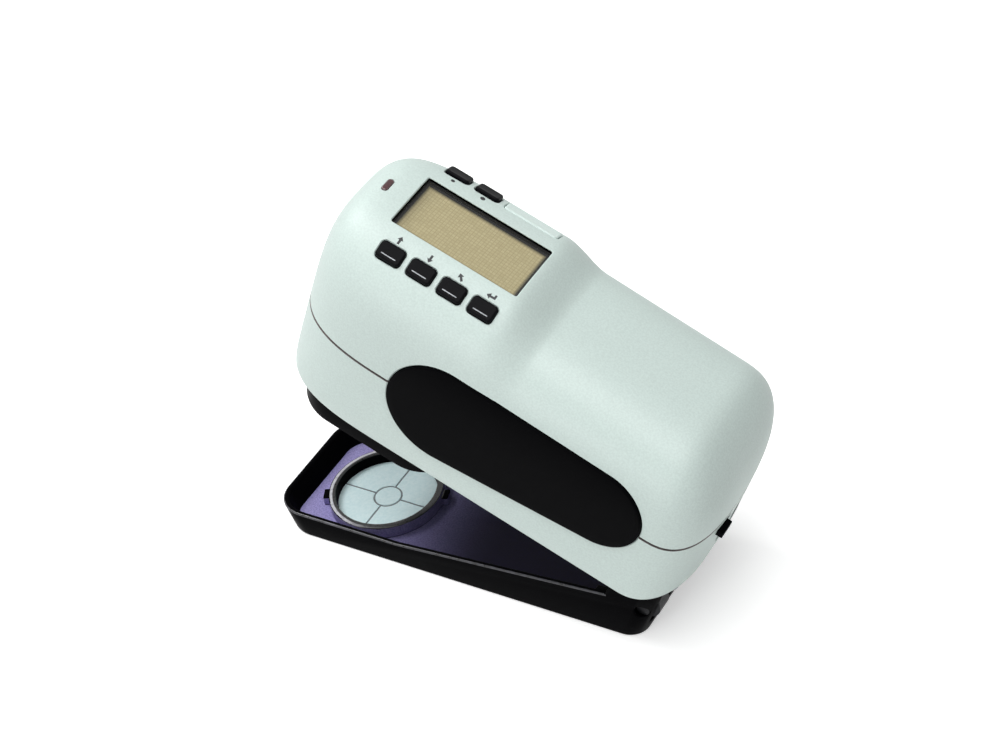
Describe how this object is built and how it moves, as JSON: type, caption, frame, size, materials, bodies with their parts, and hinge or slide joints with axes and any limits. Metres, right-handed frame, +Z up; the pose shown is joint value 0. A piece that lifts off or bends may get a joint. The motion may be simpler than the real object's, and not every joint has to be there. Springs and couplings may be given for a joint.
{
  "type": "portable spectrophotometer",
  "caption": "Hand-held sphere spectrophotometer with a display and key rows, hinged over a flat shoe that holds the measuring target.",
  "frame": {"origin": "centre of the flat underside of the shoe", "axes": "+X from the measuring end to the hinge, +Y to the side with two keys and the blank strip, +Z up"},
  "size_m": [0.2285, 0.0864, 0.1888],
  "materials": {
    "case_plastic": "fine moulded texture",
    "black_plastic": "satin moulded black",
    "grip_rubber": "soft matte black",
    "key_plastic": "satin black",
    "strip_plastic": "satin pale grey",
    "window_pane": "clear and glossy",
    "lcd_face": "grey-green liquid crystal panel",
    "light_guide": "milky",
    "lamp_lens": "dark red translucent",
    "inner_plastic": "moulded dark grey",
    "target_tile": "smooth pale target",
    "sphere_white": "matte white coating",
    "plate_aluminium": "milled",
    "steel": "plain",
    "post_brass": "turned",
    "wheel_black": "black anodised",
    "lens_glass": "polished",
    "lamp_glass": "clear bulb",
    "circuit_board": "green solder mask",
    "chip_black": "moulded",
    "cell_sleeve": "shrink sleeve"
  },
  "bodies": {
    "shoe": {"shoe": "black_plastic", "target_ring": "black_plastic", "target_disc": "target_tile", "hinge_pin": "steel", "return_spring": "steel", "shoe_feet": "grip_rubber"},
    "instrument": {"upper_case": "case_plastic", "lower_case": "case_plastic", "grip_near": "grip_rubber", "grip_far": "grip_rubber", "nose_block": "black_plastic", "nose_screws": "steel", "aperture_ring": "sphere_white", "display_frame": "black_plastic", "display_window": "window_pane", "lcd_panel": "lcd_face", "lcd_backlight": "light_guide", "display_board": "circuit_board", "blank_key": "strip_plastic", "keypad_tray_near": "inner_plastic", "keypad_tray_far": "inner_plastic", "status_led": "lamp_lens", "optics_chassis": "plate_aluminium", "chassis_posts": "plate_aluminium", "sphere_lower": "sphere_white", "sphere_upper": "sphere_white", "sphere_screws": "steel", "pickup_tube": "inner_plastic", "pickup_lens": "lens_glass", "lamp_holder": "plate_aluminium", "lamp": "lamp_glass", "optics_bridge": "plate_aluminium", "bridge_pillars": "plate_aluminium", "filter_motor": "steel", "detector_board": "circuit_board", "detector_posts": "plate_aluminium", "battery_tray": "inner_plastic", "battery_cells": "cell_sleeve", "battery_cover": "case_plastic", "cover_screws": "steel", "main_board": "circuit_board", "board_posts": "post_brass", "board_chips": "chip_black", "io_board": "circuit_board", "data_port": "black_plastic", "charger_jack": "black_plastic", "switch_body": "inner_plastic", "case_screws": "steel", "hinge_bracket": "steel", "bracket_screws": "steel"},
    "menu_key_1": {"menu_key_1": "key_plastic"},
    "menu_key_2": {"menu_key_2": "key_plastic"},
    "menu_key_3": {"menu_key_3": "key_plastic"},
    "menu_key_4": {"menu_key_4": "key_plastic"},
    "target_key": {"target_key": "key_plastic"},
    "read_key": {"read_key": "key_plastic"},
    "filter_wheel": {"filter_wheel": "wheel_black", "filters": "lens_glass"},
    "power_switch": {"power_switch": "black_plastic"}
  },
  "joints": [
    {"name": "body_hinge", "type": "hinge", "parent": "shoe", "child": "instrument", "pos_m": [0.093, 0, 0.017], "axis": [0, -1, 0], "range_deg": [0, 24], "stiffness_Nm_per_rad": 1.2, "springref_deg": -40.11},
    {"name": "menu_key_1_press", "type": "slide", "parent": "instrument", "child": "menu_key_1", "axis": [-0.3656, 0.4384, -0.8211], "range_m": [0, 0.001], "stiffness_N_per_m": 600, "springref_m": -0.001},
    {"name": "menu_key_2_press", "type": "slide", "parent": "instrument", "child": "menu_key_2", "axis": [-0.3656, 0.4384, -0.8211], "range_m": [0, 0.001], "stiffness_N_per_m": 600, "springref_m": -0.001},
    {"name": "menu_key_3_press", "type": "slide", "parent": "instrument", "child": "menu_key_3", "axis": [-0.3656, 0.4384, -0.8211], "range_m": [0, 0.001], "stiffness_N_per_m": 600, "springref_m": -0.001},
    {"name": "menu_key_4_press", "type": "slide", "parent": "instrument", "child": "menu_key_4", "axis": [-0.3656, 0.4384, -0.8211], "range_m": [0, 0.001], "stiffness_N_per_m": 600, "springref_m": -0.001},
    {"name": "target_key_press", "type": "slide", "parent": "instrument", "child": "target_key", "axis": [-0.3656, -0.4384, -0.8211], "range_m": [0, 0.001], "stiffness_N_per_m": 600, "springref_m": -0.001},
    {"name": "read_key_press", "type": "slide", "parent": "instrument", "child": "read_key", "axis": [-0.3656, -0.4384, -0.8211], "range_m": [0, 0.001], "stiffness_N_per_m": 600, "springref_m": -0.001},
    {"name": "filter_wheel_turn", "type": "hinge", "parent": "instrument", "child": "filter_wheel", "pos_m": [0.01077, 0, 0.13571], "axis": [0.4067, 0, 0.9135], "continuous": true},
    {"name": "power_switch_slide", "type": "slide", "parent": "instrument", "child": "power_switch", "axis": [0, 1, 0], "range_m": [0, 0.004]}
  ]
}
